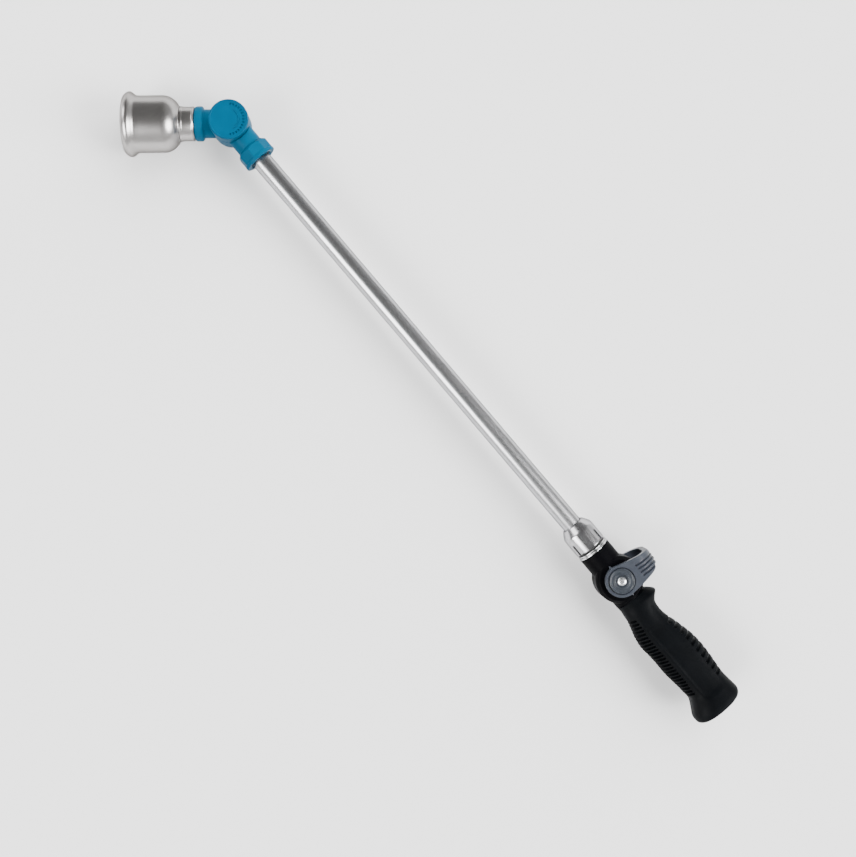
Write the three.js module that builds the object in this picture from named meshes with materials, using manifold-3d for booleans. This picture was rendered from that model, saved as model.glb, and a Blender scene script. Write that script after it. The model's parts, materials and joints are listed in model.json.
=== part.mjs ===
// A garden watering wand: a pivoting spray head, a long aluminium tube, a rotary valve worked by
// a thumb lever, and a rubber grip with a female hose inlet. Millimetres, +Z up.
// The wand lies on its side. Its tube runs along X with the hose inlet at +X, the thumb lever is
// on +Y, and the head pivots and the lever turns about axes that run along Z.
import * as THREE from "three";
import { mergeVertices } from "three/addons/utils/BufferGeometryUtils.js";
import Module from "manifold-3d";

const wasm = await Module();
wasm.setup();

// ---- Driving dimensions -------------------------------------------------------------------
const GAP = 0.3; // clearance between neighbouring pieces
const TUBE = { start: -226.7, end: 237, radius: 8.75, wall: 1 };
const PIVOT = {
  x: -247.4,
  radius: 17.2,
  split: 3,
  top: 16.4,
  bore: 11.5,
  roof: 12,
  floor: -11.4,
  capHeight: 1.8,
};
const SPIGOT = { end: -5, bore: 7.5, port: 3.4, portHeight: 8, lowPort: 2.6, lowPortHeight: -7.9 };
const HEAD_BEND = 50; // degrees between the tube and the head at rest
const ARM = {
  neck: 12.3,
  collar: 14.95,
  collarStart: 22.9,
  collarEnd: 30.2,
  rounding: 1.7,
  bore: 7,
  boreStart: 19.2,
  nippleSeat: 23.7,
  nippleBore: 11,
  wandNeck: 11.5,
  wandThread: 12,
  wandBore: 7.6,
  wandBoreStart: 18.5,
};
const BELL = {
  back: 43.4,
  neck: 15.6,
  shoulder: 57.9,
  shoulderRadius: 15.3,
  radius: 24.4,
  flare: 80.4,
  rim: 28.1,
  front: 85.4,
  wall: 1.2,
};
const FACE = {
  radius: 24.2,
  back: 83.6,
  edge: 86,
  apex: 90.3,
  sheet: 1,
  rings: [6, 12],
  pitch: 8.5,
  hole: 1,
};
const GASKET = { start: 81.2, end: 83.3, inner: 20.5, outer: 23 };
const DIFFUSER = { start: 59, end: 61, radius: 22.8, slots: 6, slot: 3.5, reach: 14 };
const FERRULE_RADIUS = 15;
const NIPPLE = { start: 24, end: 50, bore: 7, radius: 10.7 };
const BELL_WASHER = { start: 44.9, end: 46.1, radius: 14 };
const BELL_NUT = { start: 46.4, end: 50, corners: 14.6 };
const SEAL = { section: 1.05, ring: 10.15, groove: 8.8, grooveHalf: 1.3, heights: [0.6, -2.8] };
const PIVOT_SCREW = {
  shank: 1.9,
  hole: 2.2,
  head: 4.4,
  headHeight: 1.5,
  headPocket: 5,
  headSeat: 13.4,
  washer: 4.6,
  washerThickness: 0.5,
  nutSeat: -13.4,
  nutCorners: 3.9,
  nutHeight: 2.3,
  nutPocket: 4.2,
};
const FRONT_NUT = {
  start: -219.6,
  end: -206.2,
  radius: 14.9,
  firstCorner: 15,
  rim: 2.4,
  thread: 12.3,
  throat: 9.9,
  glandStart: -210.4,
  glandEnd: -208.4,
};
const REAR_NUT = {
  start: 209.4,
  end: 233.2,
  nose: 10.6,
  noseEnd: 216.2,
  radius: 14.7,
  corners: 15.6,
  firstCorner: 25,
  thread: 11.5,
};
const OLIVE = { start: 218.4, end: 222.3 };
const TRIM_RING = { start: 234.9, end: 238.1, radius: 14.7 };
const VALVE = {
  x: 270,
  radius: 20.7,
  half: 14.2,
  neckStart: 238.4,
  neck: 14.8,
  rearEnd: 289.5,
  rear: 13.8,
  rearY: -3.2,
  inletBore: 6.5,
  outletBore: 5.5,
  outletY: -2.5,
};
const PLUG = {
  radius: 9.5,
  half: 13.9,
  port: 3.9,
  closedAngle: -50,
  square: 7.6,
  stemTop: 17.4,
  sealHeight: 10.5,
  sealRing: 8.45,
  sealSection: 1,
  groove: 7.2,
  grooveHalf: 1.3,
  screwHole: 1.8,
};
const LEVER = {
  inside: 15,
  outside: 19,
  hub: 14.2,
  top: 35.5,
  web: 4.5,
  recess: 11.6,
  recessFloor: 17.9,
};
const HUB_CAP = { back: 18.2, front: 20, radius: 10.8, dish: 5, dishFloor: 18.9 };
const LEVER_SCREW = { tip: 9, seat: 19.2, top: 20.8, head: 3.7, shank: 1.5, slot: 0.9 };
const INLET = {
  y: -4,
  mouth: 15,
  core: 11.2,
  coreBore: 6,
  flange: 15.5,
  thread: 12.9,
  insertWall: 1.8,
};
const CORE = { start: 289.9, flangeStart: 392, end: 407, flangeFloor: 1.5 };
const HOSE_WASHER = { start: 393.8, end: 396, inner: 7, outer: 12.4 };
const STRAINER = { start: 379, end: 393.8, radius: 5.6, wall: 0.8, slot: 1.2, pitch: 3 };
const FINE = 24; // sides on a large round piece
const COARSE = 16; // sides on a small round piece
const SMOOTH = 32; // sides on the widest visible pieces

// Grip sections along X: place, top, bottom and half width.
const GRIP_SECTIONS = [
  [289.6, 10.8, -17, 13.2],
  [292.9, 15.2, -16.6, 13.6],
  [296.9, 18.6, -16.9, 14],
  [300.2, 15.9, -17.2, 14],
  [304, 12.5, -17.7, 14],
  [312, 10.8, -19.9, 14.2],
  [320.8, 11.8, -22.5, 14.8],
  [329.5, 14.3, -23.7, 15.5],
  [338.1, 16.2, -23, 16.1],
  [346.8, 17.8, -22.5, 16.5],
  [359.8, 18.6, -22.5, 16.8],
  [372.8, 17.8, -21.8, 16.6],
  [389.6, 16.5, -21.1, 16.8],
  [398.8, 17.2, -25.1, 17.6],
  [403.6, 17.7, -27.8, 18.3],
  [406.8, 17.8, -28.4, 18.6],
  [409.2, 17, -28, 18.4],
  [410.8, 15.3, -26.4, 17.8],
  [411.4, 13.4, -24.4, 17],
];
const GRIP_SIDES = 24;

// ---- Materials ----------------------------------------------------------------------------
const finish = (color, roughness, metalness) => ({ color, roughness, metalness });
const TEAL = finish(0x0087a8, 0.4, 0);
const ALUMINIUM = finish(0xc4c4c8, 0.3, 1);
const CHROME = finish(0xd8d8da, 0.15, 1);
const ZINC = finish(0xc9ccd0, 0.35, 1);
const BRASS = finish(0xb58a3e, 0.35, 1);
const LEVER_GREY = finish(0x5a6470, 0.45, 0);
const BLACK_PLASTIC = finish(0x16181a, 0.5, 0);
const SEAL_RUBBER = finish(0x1b1b1b, 0.8, 0);
const GRIP_RUBBER = finish(0x0f1214, 0.7, 0);
const WHITE_PLASTIC = finish(0xdadad6, 0.5, 0);

// ---- Solids -------------------------------------------------------------------------------
// A closed geometry as a manifold-3d solid, turned outwards if it faces in.
function solid(geometry) {
  const source = geometry.index ? geometry.toNonIndexed() : geometry;
  const bare = new THREE.BufferGeometry();
  bare.setAttribute("position", source.getAttribute("position"));
  const merged = mergeVertices(bare, 1e-4);
  const triVerts = new Uint32Array(merged.index.array);
  if (signedVolume(merged) < 0) triVerts.reverse();
  const vertProperties = merged.attributes.position.array;
  return new wasm.Manifold(new wasm.Mesh({ numProp: 3, vertProperties, triVerts }));
}

function signedVolume(geometry) {
  const place = geometry.attributes.position;
  const corner = [new THREE.Vector3(), new THREE.Vector3(), new THREE.Vector3()];
  let volume = 0;
  for (let i = 0; i < geometry.index.count; i += 3) {
    corner.forEach((v, k) => v.fromBufferAttribute(place, geometry.index.getX(i + k)));
    volume += corner[0].dot(corner[1].clone().cross(corner[2])) / 6;
  }
  return volume;
}

const join = (first, ...others) => others.reduce((sum, next) => sum.add(next), first);
const cut = (first, ...others) => others.reduce((rest, next) => rest.subtract(next), first);

// A profile of [along, radius] points turned about the X axis.
function turned(profile, sides = FINE, y = 0) {
  const points = profile.map(([along, radius]) => new THREE.Vector2(radius, along));
  return solid(new THREE.LatheGeometry(points, sides).rotateZ(-Math.PI / 2).translate(0, y, 0));
}

// A profile of [height, radius] points turned about a line along Z.
function spun(profile, x = 0, sides = FINE) {
  const points = profile.map(([height, radius]) => new THREE.Vector2(radius, height));
  return solid(new THREE.LatheGeometry(points, sides).rotateX(Math.PI / 2).translate(x, 0, 0));
}

const closed = (points) => [...points, points[0]];
const rodProfile = (from, to, radius) => [[from, 0], [from, radius], [to, radius], [to, 0]];
const ringProfile = (from, to, inner, outer) =>
  closed([[from, inner], [from, outer], [to, outer], [to, inner]]);
const rodX = (from, to, radius, y = 0, sides = FINE) => turned(rodProfile(from, to, radius), sides, y);
const rodZ = (from, to, radius, x = 0, sides = FINE) => spun(rodProfile(from, to, radius), x, sides);
const ringX = (from, to, inner, outer, y = 0, sides = FINE) =>
  turned(ringProfile(from, to, inner, outer), sides, y);
const ringZ = (from, to, inner, outer, x = 0, sides = FINE) =>
  spun(ringProfile(from, to, inner, outer), x, sides);

// A small bore along X at a height above the tube's line.
function pipeX(from, to, radius, height) {
  const pipe = new THREE.CylinderGeometry(radius, radius, to - from, COARSE);
  return solid(pipe.rotateZ(Math.PI / 2).translate((from + to) / 2, 0, height));
}

// A round-section seal about Z: its centre height, ring radius and section radius.
function sealZ(height, ring, section, x = 0) {
  const points = [];
  for (let i = 0; i < 6; i++) {
    const angle = (i * Math.PI) / 3;
    points.push([height + section * Math.sin(angle), ring + section * Math.cos(angle)]);
  }
  return spun(closed(points), x, 20);
}

// Points along an arc of a profile, from one angle to another in degrees.
function arc(along, radius, size, from, to, steps) {
  const points = [];
  for (let i = 0; i <= steps; i++) {
    const angle = THREE.MathUtils.degToRad(from + ((to - from) * i) / steps);
    points.push([along + size * Math.cos(angle), radius + size * Math.sin(angle)]);
  }
  return points;
}

// An outline in XY pushed up along Z between two heights.
function slab(shape, from, to, curveSegments = 6) {
  const geometry = new THREE.ExtrudeGeometry(shape, {
    depth: to - from,
    bevelEnabled: false,
    curveSegments,
  });
  return solid(geometry.translate(0, 0, from));
}

function box(width, depth, height, x, y, z) {
  return solid(new THREE.BoxGeometry(width, depth, height).translate(x, y, z));
}

// A regular polygon, measured to its corners, with its first corner at an angle in degrees.
function polygon(radius, sides, start = 0) {
  const shape = new THREE.Shape();
  for (let i = 0; i < sides; i++) {
    const angle = THREE.MathUtils.degToRad(start) + (i * 2 * Math.PI) / sides;
    shape[i ? "lineTo" : "moveTo"](radius * Math.cos(angle), radius * Math.sin(angle));
  }
  shape.closePath();
  return shape;
}

// A prism along X, standing on a polygon.
function prismX(radius, sides, from, to, start = 0) {
  const geometry = new THREE.ExtrudeGeometry(polygon(radius, sides, start), {
    depth: to - from,
    bevelEnabled: false,
  });
  return solid(geometry.rotateY(Math.PI / 2).translate(from, 0, 0));
}

// ---- Spray head, along +X from the pivot axis ------------------------------------------------
function sprayBell() {
  const { back, neck, shoulder, shoulderRadius, radius, flare, rim, front, wall } = BELL;
  const outside = arc(shoulder, radius - shoulderRadius, shoulderRadius, 155, 90, 6);
  const inside = arc(shoulder, radius - shoulderRadius, shoulderRadius - wall, 90, 155, 6);
  return turned(
    closed([
      [back, ARM.nippleBore],
      [back, neck],
      ...outside,
      [flare, radius],
      [flare + 2.6, radius + 2],
      [front - 0.8, rim - 0.3],
      [front + 0.4, rim],
      [front + 2.8, rim - 0.7],
      [front + 4.8, rim - 2.1],
      [front + 6, rim - 3.7],
      [front + 4.8, rim - 3.4],
      [front + 2.4, rim - 2.3],
      [front, rim - 1.7],
      [flare + 3.2, radius + 2 - wall],
      [flare, radius - wall],
      ...inside,
      [back + wall, neck - wall],
      [back + wall, ARM.nippleBore],
    ]),
    SMOOTH,
  );
}

function sprayFace() {
  const { radius, back, edge, apex, sheet, rings, pitch, hole } = FACE;
  const dome = (r) => edge + (apex - edge) * (1 - (r / radius) ** 2);
  const steps = [1, 0.8, 0.55, 0.3];
  const plate = turned(
    [
      [apex - sheet, 0],
      ...steps.toReversed().map((part) => [dome(part * radius) - sheet, part * (radius - sheet)]),
      [back, radius - sheet],
      [back, radius],
      ...steps.map((part) => [dome(part * radius), part * radius]),
      [apex, 0],
    ],
    SMOOTH,
  );
  const drills = [rodX(back, apex + 1, hole, 0, 6)];
  rings.forEach((count, ring) => {
    for (let i = 0; i < count; i++) {
      const angle = (i * 2 * Math.PI) / count;
      const reach = pitch * (ring + 1);
      const drill = new THREE.CylinderGeometry(hole, hole, 10, 6).rotateZ(Math.PI / 2);
      drills.push(solid(drill.translate(edge, reach * Math.cos(angle), reach * Math.sin(angle))));
    }
  });
  return cut(plate, ...drills);
}

const faceGasket = () => ringX(GASKET.start, GASKET.end, GASKET.inner, GASKET.outer);

function flowDiffuser() {
  const { start, end, radius, slots, slot, reach } = DIFFUSER;
  const holes = [];
  for (let i = 0; i < slots; i++) {
    const angle = (i * 2 * Math.PI) / slots;
    const hole = new THREE.CylinderGeometry(slot, slot, 10, 12).rotateZ(Math.PI / 2);
    holes.push(solid(hole.translate(start, reach * Math.cos(angle), reach * Math.sin(angle))));
  }
  return cut(rodX(start, end, radius), ...holes);
}

const bellFerrule = () =>
  ringX(ARM.collarEnd + GAP, BELL.back - GAP, ARM.nippleBore, FERRULE_RADIUS);
const bellNipple = () => ringX(NIPPLE.start, NIPPLE.end, NIPPLE.bore, NIPPLE.radius);
const bellWasher = () =>
  ringX(BELL_WASHER.start, BELL_WASHER.end, ARM.nippleBore, BELL_WASHER.radius);
const bellLocknut = () => {
  const { start, end, corners } = BELL_NUT;
  return cut(prismX(corners, 6, start, end), rodX(start - 1, end + 1, ARM.nippleBore));
};

function outletArm() {
  const { radius, split, top, bore, roof } = PIVOT;
  const { neck, collar, collarStart, collarEnd, rounding, nippleSeat, nippleBore } = ARM;
  const { groove, grooveHalf, heights } = SEAL;
  const { hole, headPocket, headSeat } = PIVOT_SCREW;
  const stem = turned([
    [0, 0],
    [0, neck],
    [collarStart, neck],
    ...arc(collarStart + rounding, collar - rounding, rounding, 180, 90, 3),
    ...arc(collarEnd - rounding, collar - rounding, rounding, 90, 0, 3),
    [collarEnd, 0],
  ]);
  const clearOfHousing = rodZ(-20, split + GAP, radius + GAP);
  const barrel = rodZ(split + GAP, top, radius);
  const spigot = rodZ(SPIGOT.end, split + 1, bore - GAP);
  return cut(
    join(cut(stem, clearOfHousing), barrel, spigot),
    rodZ(SPIGOT.end - 1, roof, SPIGOT.bore),
    ...heights.map((height) => ringZ(height - grooveHalf, height + grooveHalf, groove, bore + 1)),
    pipeX(0, nippleSeat - 1, SPIGOT.port, SPIGOT.portHeight),
    rodX(ARM.boreStart, nippleSeat + 1, ARM.bore),
    rodX(nippleSeat, collarEnd + 1, nippleBore),
    rodZ(roof - 1, top + 1, hole, 0, COARSE),
    rodZ(headSeat, top + 1, headPocket, 0, COARSE),
  );
}

function pivotCap(from, to, tipUp) {
  const edge = 0.7;
  const { radius } = PIVOT;
  const rounded = tipUp
    ? [[from, 0], [from, radius], [to - edge, radius], [to, radius - edge], [to, 0]]
    : [[from, 0], [from, radius - edge], [from + edge, radius], [to, radius], [to, 0]];
  return spun(rounded, 0, SMOOTH);
}

const pivotSeal = (height) => sealZ(height, SEAL.ring, SEAL.section);

function waveWasher() {
  const { headSeat, hole, washer, washerThickness } = PIVOT_SCREW;
  const back = headSeat + GAP;
  return ringZ(back, back + washerThickness, hole + 0.2, washer, 0, COARSE);
}

function pivotScrew() {
  const { shank, head, headHeight, headSeat, washerThickness, nutSeat, nutHeight } = PIVOT_SCREW;
  const headBack = headSeat + washerThickness + 2 * GAP;
  return join(
    rodZ(headBack, headBack + headHeight, head, 0, COARSE),
    rodZ(nutSeat - nutHeight - GAP, headBack + 0.2, shank, 0, COARSE),
  );
}

function pivotLocknut() {
  const { hole, nutSeat, nutCorners, nutHeight } = PIVOT_SCREW;
  const back = nutSeat - GAP - nutHeight;
  return cut(
    slab(polygon(nutCorners, 6), back, nutSeat - GAP),
    rodZ(back - 1, nutSeat, hole, 0, COARSE),
  );
}

// ---- Pivot housing and front tube joint, in the wand's own line -------------------------------
function inletArm() {
  const { radius, split, top, bore, floor } = PIVOT;
  const { wandNeck, wandThread, wandBore, wandBoreStart } = ARM;
  const { hole, nutSeat, nutPocket } = PIVOT_SCREW;
  const start = -PIVOT.x;
  const threadStart = FRONT_NUT.start + start - GAP;
  const threadEnd = FRONT_NUT.glandStart + start - GAP;
  const neck = turned([
    [0, 0],
    [0, wandNeck],
    [threadStart, wandNeck],
    [threadStart, wandThread],
    [threadEnd, wandThread],
    [threadEnd, 0],
  ]);
  const clearOfArm = rodZ(split, 20, radius + GAP);
  return cut(
    join(cut(neck, clearOfArm), rodZ(-top, split, radius)),
    rodZ(floor, split + 1, bore),
    pipeX(0, wandBoreStart + 0.5, SPIGOT.lowPort, SPIGOT.lowPortHeight),
    rodX(wandBoreStart, TUBE.start + start, wandBore),
    rodX(TUBE.start + start - GAP, threadEnd + 1, TUBE.radius + GAP),
    rodZ(-top - 1, 0, hole, 0, COARSE),
    slab(polygon(nutPocket, 6), -top - 1, nutSeat),
  ).translate([PIVOT.x, 0, 0]);
}

function frontNut() {
  const { start, end, radius, firstCorner, rim, thread, throat, glandEnd } = FRONT_NUT;
  const body = prismX(radius, 8, start, end - rim, firstCorner);
  const flange = rodX(end - rim - 0.2, end, radius);
  return cut(
    join(body, flange),
    rodX(start - 1, glandEnd + GAP, thread),
    rodX(glandEnd, end + 1, throat),
  );
}

const frontGland = () => ringX(FRONT_NUT.glandStart, FRONT_NUT.glandEnd, TUBE.radius + GAP, 12);

const aluminiumTube = () => ringX(TUBE.start, TUBE.end, TUBE.radius - TUBE.wall, TUBE.radius);

// ---- Rear tube joint and valve ---------------------------------------------------------------
function rearNut() {
  const { start, end, nose, noseEnd, radius, corners, firstCorner, thread } = REAR_NUT;
  const cone = turned([[start, 0], [start, nose], [noseEnd, radius], [end, radius], [end, 0]]);
  return cut(
    cone.intersect(prismX(corners, 8, start, end, firstCorner)),
    rodX(start - 1, end, TUBE.radius + GAP),
    rodX(OLIVE.start - GAP, end + 1, thread),
  );
}

const rearOlive = () => ringX(OLIVE.start, OLIVE.end, TUBE.radius + GAP, REAR_NUT.thread - GAP);
const nutWasher = () => ringX(REAR_NUT.end + GAP, TRIM_RING.start - GAP, REAR_NUT.thread, 13.5);

function trimRing() {
  const { start, end, radius } = TRIM_RING;
  const middle = (start + end) / 2;
  return turned(
    closed([
      [start, REAR_NUT.thread],
      [start, radius - 0.4],
      [middle - 0.5, radius - 0.2],
      [middle, radius - 0.9],
      [middle + 0.5, radius],
      [end, radius],
      [end, REAR_NUT.thread],
    ]),
  );
}

function valveBody() {
  const { x, radius, half, neckStart, neck, rearEnd, rear, rearY } = VALVE;
  const { inletBore, outletBore, outletY } = VALVE;
  const neckPart = turned([
    [OLIVE.end + GAP, 0],
    [OLIVE.end + GAP, REAR_NUT.thread - GAP],
    [neckStart, REAR_NUT.thread - GAP],
    [neckStart, neck],
    [x, neck],
    [x, 0],
  ]);
  const rearPart = rodX(x, rearEnd, rear, rearY);
  return cut(
    join(neckPart, rearPart, rodZ(-half, half, radius, x, SMOOTH)),
    rodZ(-half - 1, half + 1, PLUG.radius + GAP, x),
    rodX(OLIVE.end, TUBE.end + GAP, TUBE.radius + GAP),
    rodX(TUBE.end, x - 17, inletBore, 0, COARSE),
    rodX(x - 20, x + 13, PLUG.port, 0, COARSE),
    rodX(x + 12, rearEnd + 1, outletBore, outletY, COARSE),
  );
}

function valvePlug() {
  const { radius, half, port, closedAngle, square, stemTop } = PLUG;
  const { sealHeight, groove, grooveHalf, screwHole } = PLUG;
  const drill = new THREE.CylinderGeometry(port, port, 30, COARSE).rotateZ(Math.PI / 2);
  const stem = box(square, square, 2 * stemTop, 0, 0, 0);
  return cut(
    join(rodZ(-half, half, radius), stem),
    solid(drill.rotateZ(THREE.MathUtils.degToRad(closedAngle))),
    ...[-sealHeight, sealHeight].map((height) =>
      ringZ(height - grooveHalf, height + grooveHalf, groove, radius + 1),
    ),
    rodZ(LEVER_SCREW.tip - 1, stemTop + 1, screwHole, 0, COARSE),
    rodZ(-stemTop - 1, 1 - LEVER_SCREW.tip, screwHole, 0, COARSE),
  ).translate([VALVE.x, 0, 0]);
}

const plugSeal = (height) => sealZ(height, PLUG.sealRing, PLUG.sealSection, VALVE.x);

// The lever's side view: a hub round the valve axis that rises to the thumb pad.
function leverSide() {
  const { hub, top } = LEVER;
  const shape = new THREE.Shape();
  shape.moveTo(-hub, 0);
  shape.quadraticCurveTo(-12.2, 7, -9.6, 16);
  shape.lineTo(-4.9, top - 1);
  shape.quadraticCurveTo(-4.6, top, -3.6, top);
  shape.lineTo(3.7, top);
  shape.quadraticCurveTo(9.5, top - 1.4, 11.2, top - 7);
  shape.quadraticCurveTo(13, 20, 13.7, 10.4);
  shape.lineTo(hub, 0);
  shape.absarc(0, 0, hub, 0, -Math.PI, true);
  return shape;
}

// The lever's end view: an arch that steps over the valve, with round shoulders.
function archEnd(half, height, corner, foot) {
  const shape = new THREE.Shape();
  shape.moveTo(-half, foot);
  shape.lineTo(half, foot);
  shape.lineTo(half, height - corner);
  shape.absarc(half - corner, height - corner, corner, 0, Math.PI / 2);
  shape.lineTo(corner - half, height);
  shape.absarc(corner - half, height - corner, corner, Math.PI / 2, Math.PI);
  return shape;
}

function archSolid(half, height, corner, foot, reach) {
  const geometry = new THREE.ExtrudeGeometry(archEnd(half, height, corner, foot), {
    depth: 2 * reach,
    bevelEnabled: false,
    curveSegments: 8,
  });
  return solid(geometry.translate(0, 0, -reach).rotateY(Math.PI / 2));
}

function thumbLever() {
  const { inside, outside, hub, top, web, recess, recessFloor } = LEVER;
  const square = PLUG.square + 2 * GAP;
  const lever = cut(
    slab(leverSide(), -outside, outside, 8).intersect(archSolid(outside, top, 14, -20, 30)),
    archSolid(inside, top - web, 10, -30, 40),
    rodZ(recessFloor, 25, recess),
    rodZ(-25, -recessFloor, recess),
    box(square, square, 60, 0, 0, 0),
  );
  return lever.translate([VALVE.x, 0, 0]);
}

const onSide = (shape, side) => (side > 0 ? shape : shape.mirror([0, 0, 1]));

function hubCap(side) {
  const { back, front, radius, dish, dishFloor } = HUB_CAP;
  const chamfer = 0.6;
  const rim = [[back, 0], [back, radius], [front - chamfer, radius]];
  const disc = cut(
    spun([...rim, [front, radius - chamfer], [front, 0]]),
    rodZ(dishFloor, front + 1, dish, 0, COARSE),
    rodZ(back - 1, front + 1, PLUG.screwHole, 0, COARSE),
  );
  return onSide(disc, side).translate([VALVE.x, 0, 0]);
}

function leverScrew(side) {
  const { tip, seat, top, head, shank, slot } = LEVER_SCREW;
  const headShape = [[seat, 0], [seat, head], [top - 0.5, head - 0.3], [top, head - 1.7], [top, 0]];
  const screw = join(spun(headShape, 0, COARSE), rodZ(tip, seat + 0.2, shank, 0, COARSE));
  const length = head + slot;
  const driven = cut(screw, box(length, slot, 1.2, 0, 0, top), box(slot, length, 1.2, 0, 0, top));
  return onSide(driven, side).translate([VALVE.x, 0, 0]);
}

// ---- Grip and hose inlet ---------------------------------------------------------------------
function gripSleeve() {
  const rings = GRIP_SECTIONS.map(([x, top, bottom, half]) => {
    const ring = [];
    for (let i = 0; i < GRIP_SIDES; i++) {
      const angle = (i * 2 * Math.PI) / GRIP_SIDES;
      const across = Math.sin(angle);
      const up = Math.cos(angle);
      const y = (top + bottom) / 2 + ((top - bottom) / 2) * up;
      ring.push([x, y, half * across]);
    }
    return ring;
  });
  return cut(
    loft(rings),
    clearOfValve(),
    rodX(VALVE.x, CORE.flangeStart, INLET.core + GAP, INLET.y),
    rodX(CORE.flangeStart - GAP, CORE.end + GAP, INLET.flange + GAP, INLET.y),
    rodX(CORE.end, CORE.end + 20, INLET.mouth, INLET.y),
  );
}

const clearOfValve = () => rodZ(-30, 30, VALVE.radius + GAP, VALVE.x, SMOOTH);

// A closed skin over rings of points, with a flat fan over each end.
function loft(rings) {
  const places = [];
  const faces = [];
  const sides = rings[0].length;
  rings.forEach((ring) => ring.forEach((point) => places.push(...point)));
  for (let r = 0; r + 1 < rings.length; r++) {
    for (let i = 0; i < sides; i++) {
      const a = r * sides + i;
      const b = r * sides + ((i + 1) % sides);
      faces.push(a, a + sides, b, b, a + sides, b + sides);
    }
  }
  [0, rings.length - 1].forEach((r) => {
    const middle = places.length / 3;
    const mean = [0, 1, 2].map((k) => rings[r].reduce((sum, point) => sum + point[k], 0) / sides);
    places.push(...mean);
    for (let i = 0; i < sides; i++) {
      const edge = [r * sides + i, r * sides + ((i + 1) % sides)];
      if (r) edge.reverse();
      faces.push(middle, ...edge);
    }
  });
  const geometry = new THREE.BufferGeometry();
  geometry.setAttribute("position", new THREE.Float32BufferAttribute(places, 3));
  geometry.setIndex(faces);
  return solid(geometry);
}

function gripCore() {
  const { start, flangeStart, end, flangeFloor } = CORE;
  const { y, core, coreBore, flange, thread, insertWall } = INLET;
  const spine = turned(
    closed([
      [start, coreBore],
      [start, core],
      [flangeStart, core],
      [flangeStart, flange],
      [end, flange],
      [end, thread + insertWall + GAP],
      [flangeStart + flangeFloor, thread + insertWall + GAP],
      [flangeStart + flangeFloor, coreBore],
    ]),
    FINE,
    y,
  );
  return cut(spine, clearOfValve());
}

function hoseWasher() {
  const { start, end, inner, outer } = HOSE_WASHER;
  return ringX(start, end, inner, outer, INLET.y);
}

function inletInsert() {
  const { y, thread, insertWall } = INLET;
  return ringX(HOSE_WASHER.end + GAP, CORE.end - GAP, thread, thread + insertWall, y);
}

// A short strainer cup that sits in the core's bore, open towards the hose.
function inletStrainer() {
  const { start, end, radius, wall, slot, pitch } = STRAINER;
  const { y } = INLET;
  const inside = [[end, radius - wall], [start + wall, radius - wall], [start + wall, 0]];
  const cup = turned([[start, 0], [start, radius], [end, radius], ...inside], COARSE, y);
  const slots = [];
  for (let x = start + pitch; x < end - pitch; x += pitch) {
    slots.push(box(slot, 20, 2, x, y, 0), box(slot, 2, 20, x, y, 0));
  }
  return cut(cup, ...slots);
}

// ---- Assembly ---------------------------------------------------------------------------------
function mesh(name, shape, look) {
  const { vertProperties, triVerts } = shape.getMesh();
  const geometry = new THREE.BufferGeometry();
  geometry.setAttribute("position", new THREE.BufferAttribute(vertProperties, 3));
  geometry.setIndex(new THREE.BufferAttribute(triVerts, 1));
  geometry.computeVertexNormals();
  const piece = new THREE.Mesh(geometry, new THREE.MeshStandardMaterial(look));
  piece.name = name;
  return piece;
}

const head = new THREE.Group();
head.position.x = PIVOT.x;
head.rotation.z = THREE.MathUtils.degToRad(HEAD_BEND - 180);
head.add(
  mesh("spray_bell", sprayBell(), ALUMINIUM),
  mesh("spray_face", sprayFace(), ALUMINIUM),
  mesh("face_gasket", faceGasket(), SEAL_RUBBER),
  mesh("flow_diffuser", flowDiffuser(), WHITE_PLASTIC),
  mesh("bell_ferrule", bellFerrule(), ALUMINIUM),
  mesh("bell_nipple", bellNipple(), WHITE_PLASTIC),
  mesh("bell_washer", bellWasher(), SEAL_RUBBER),
  mesh("bell_locknut", bellLocknut(), BRASS),
  mesh("outlet_arm", outletArm(), TEAL),
  mesh("pivot_cap_near", pivotCap(PIVOT.top + GAP, PIVOT.top + GAP + PIVOT.capHeight, true), TEAL),
  mesh("pivot_seal_upper", pivotSeal(SEAL.heights[0]), SEAL_RUBBER),
  mesh("pivot_seal_lower", pivotSeal(SEAL.heights[1]), SEAL_RUBBER),
  mesh("pivot_wave_washer", waveWasher(), ZINC),
);

const pivotFasteners = new THREE.Group();
pivotFasteners.position.x = PIVOT.x;
pivotFasteners.add(
  mesh("pivot_screw", pivotScrew(), ZINC),
  mesh("pivot_locknut", pivotLocknut(), ZINC),
  mesh("pivot_cap_far", pivotCap(-PIVOT.top - GAP - PIVOT.capHeight, -PIVOT.top - GAP, false), TEAL),
);

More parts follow.
